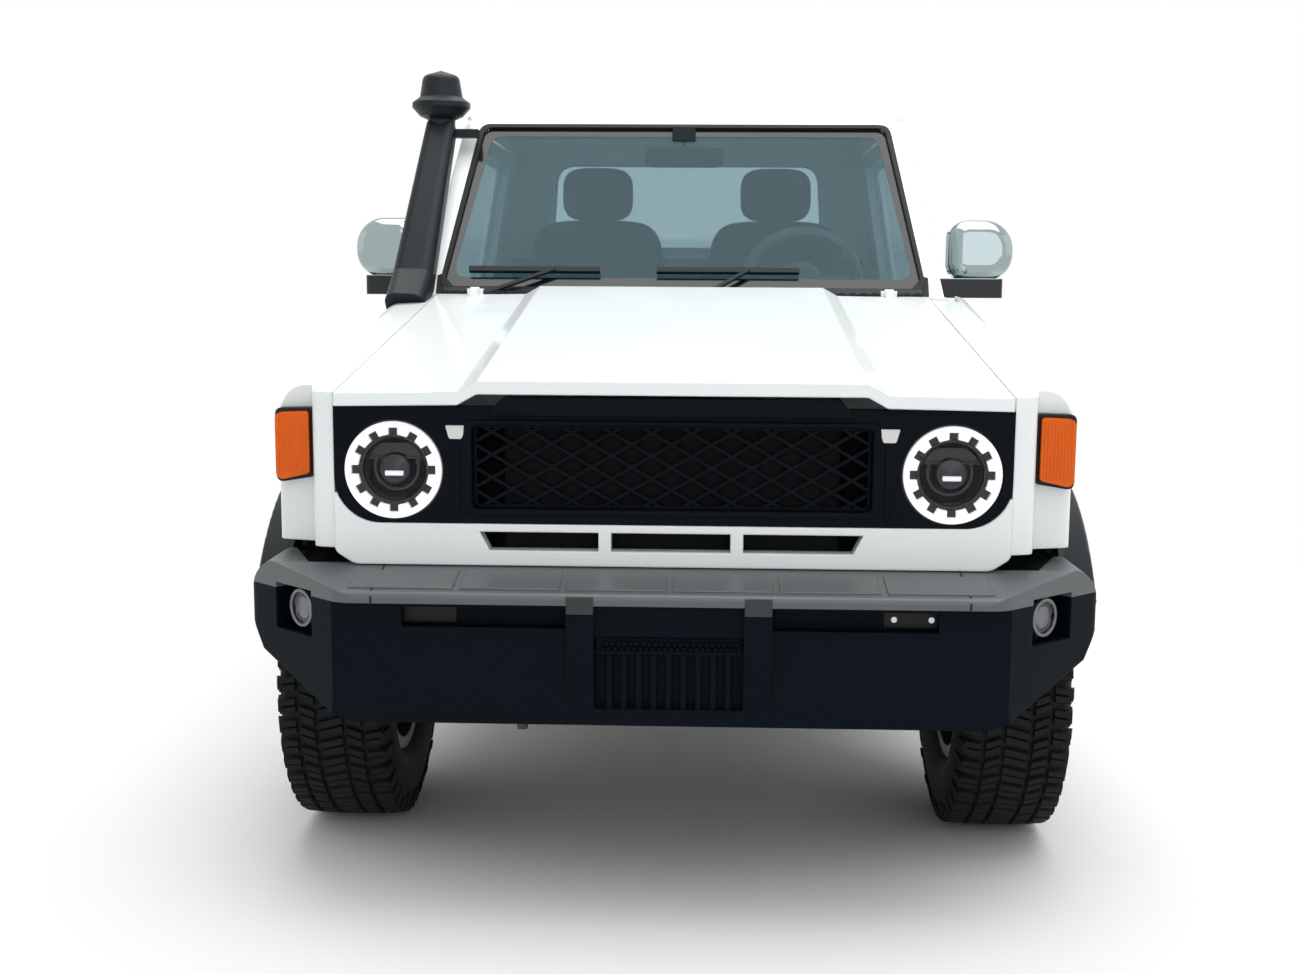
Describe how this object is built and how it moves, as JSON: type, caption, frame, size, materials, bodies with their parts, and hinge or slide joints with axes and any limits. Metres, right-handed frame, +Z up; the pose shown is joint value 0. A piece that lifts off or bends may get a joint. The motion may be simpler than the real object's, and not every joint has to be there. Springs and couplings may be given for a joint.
{
  "type": "single-cab pickup truck",
  "caption": "Boxy white off-road pickup truck with a single cab, steel load bed, round toothed lamp rings, black bumper and air snorkel, to drive, steer, open and load.",
  "frame": {"origin": "middle of the footprint, on the ground under the tyres", "axes": "+Y runs from the nose to the tail, +X to the vehicle's left, +Z up"},
  "size_m": [1.904, 5.23, 1.9319],
  "materials": {
    "white_paint": "gloss white paint",
    "black_trim": "grained black",
    "bumper_black": "satin black",
    "chassis_black": "satin black",
    "axle_iron": "dark cast",
    "exhaust_steel": "dull steel",
    "radiator_core": "finned, dark",
    "glass_tint": "blue-grey tint",
    "lamp_bowl": "dark bowl under clear lens",
    "lamp_white": "white light guide",
    "lamp_amber": "ribbed amber lens",
    "lamp_red": "ribbed red lens",
    "mirror_chrome": "bright chrome shell",
    "tyre_rubber": "matt black rubber",
    "rim_grey": "grey painted alloy",
    "seat_cloth": "woven grey cloth",
    "cabin_plastic": "grained grey"
  },
  "bodies": {
    "chassis": {"cab_shell": "white_paint", "cab_roof": "white_paint", "front_fenders": "white_paint", "front_panel": "white_paint", "bed_sides": "white_paint", "bed_head": "white_paint", "bed_floor": "white_paint", "wheel_boxes": "white_paint", "grille_panel": "black_trim", "grille_mesh": "black_trim", "front_flares": "black_trim", "snorkel": "black_trim", "wipers": "black_trim", "arch_liners": "black_trim", "mud_flaps": "black_trim", "front_bumper": "bumper_black", "rear_bumper": "bumper_black", "frame_rails": "chassis_black", "rear_springs": "chassis_black", "front_springs": "chassis_black", "radius_arms": "chassis_black", "fuel_tank": "chassis_black", "front_axle": "axle_iron", "rear_axle": "axle_iron", "powertrain": "axle_iron", "propshafts": "axle_iron", "exhaust": "exhaust_steel", "radiator": "radiator_core", "windscreen": "glass_tint", "rear_window": "glass_tint", "headlamps": "lamp_bowl", "fog_lamps": "lamp_bowl", "lamp_rings": "lamp_white", "turn_lamps": "lamp_amber", "rear_lamps": "lamp_red", "seats": "seat_cloth", "dashboard": "cabin_plastic", "cab_floor": "cabin_plastic", "steering_wheel": "cabin_plastic"},
    "left_door": {"door_left": "white_paint", "door_glass_left": "glass_tint", "mirror_left": "mirror_chrome"},
    "right_door": {"door_right": "white_paint", "door_glass_right": "glass_tint", "mirror_right": "mirror_chrome"},
    "bonnet_lid": {"bonnet": "white_paint"},
    "gate": {"tailgate": "white_paint"},
    "left_knuckle": {"knuckle_left": "axle_iron"},
    "right_knuckle": {"knuckle_right": "axle_iron"},
    "front_left_wheel": {"tyre_front_left": "tyre_rubber", "rim_front_left": "rim_grey"},
    "front_right_wheel": {"tyre_front_right": "tyre_rubber", "rim_front_right": "rim_grey"},
    "rear_left_wheel": {"tyre_rear_left": "tyre_rubber", "rim_rear_left": "rim_grey"},
    "rear_right_wheel": {"tyre_rear_right": "tyre_rubber", "rim_rear_right": "rim_grey"}
  },
  "joints": [
    {"name": "left_door_hinge", "type": "hinge", "parent": "chassis", "child": "left_door", "pos_m": [0.823, -1.168, 0.99], "axis": [0, 0, -1], "range_deg": [0, 65]},
    {"name": "right_door_hinge", "type": "hinge", "parent": "chassis", "child": "right_door", "pos_m": [-0.823, -1.168, 0.99], "axis": [0, 0, 1], "range_deg": [0, 65]},
    {"name": "bonnet_hinge", "type": "hinge", "parent": "chassis", "child": "bonnet_lid", "pos_m": [0, -1.2785, 1.302], "axis": [-1, 0, 0], "range_deg": [0, 55]},
    {"name": "tailgate_hinge", "type": "hinge", "parent": "chassis", "child": "gate", "pos_m": [0, 2.5025, 0.857], "axis": [-1, 0, 0], "range_deg": [0, 90]},
    {"name": "left_steer", "type": "hinge", "parent": "chassis", "child": "left_knuckle", "pos_m": [0.69, -1.815, 0.3885], "axis": [0, 0, 1], "range_deg": [-30, 30]},
    {"name": "right_steer", "type": "hinge", "parent": "chassis", "child": "right_knuckle", "pos_m": [-0.69, -1.815, 0.3885], "axis": [0, 0, 1], "range_deg": [-30, 30]},
    {"name": "front_left_spin", "type": "hinge", "parent": "left_knuckle", "child": "front_left_wheel", "pos_m": [0.78, -1.815, 0.3885], "axis": [1, 0, 0], "continuous": true},
    {"name": "front_right_spin", "type": "hinge", "parent": "right_knuckle", "child": "front_right_wheel", "pos_m": [-0.78, -1.815, 0.3885], "axis": [1, 0, 0], "continuous": true},
    {"name": "rear_left_spin", "type": "hinge", "parent": "chassis", "child": "rear_left_wheel", "pos_m": [0.73, 1.365, 0.3885], "axis": [1, 0, 0], "continuous": true},
    {"name": "rear_right_spin", "type": "hinge", "parent": "chassis", "child": "rear_right_wheel", "pos_m": [-0.73, 1.365, 0.3885], "axis": [1, 0, 0], "continuous": true}
  ],
  "couplings": [
    {"joint": "right_steer", "follows": "left_steer", "ratio": 1}
  ]
}
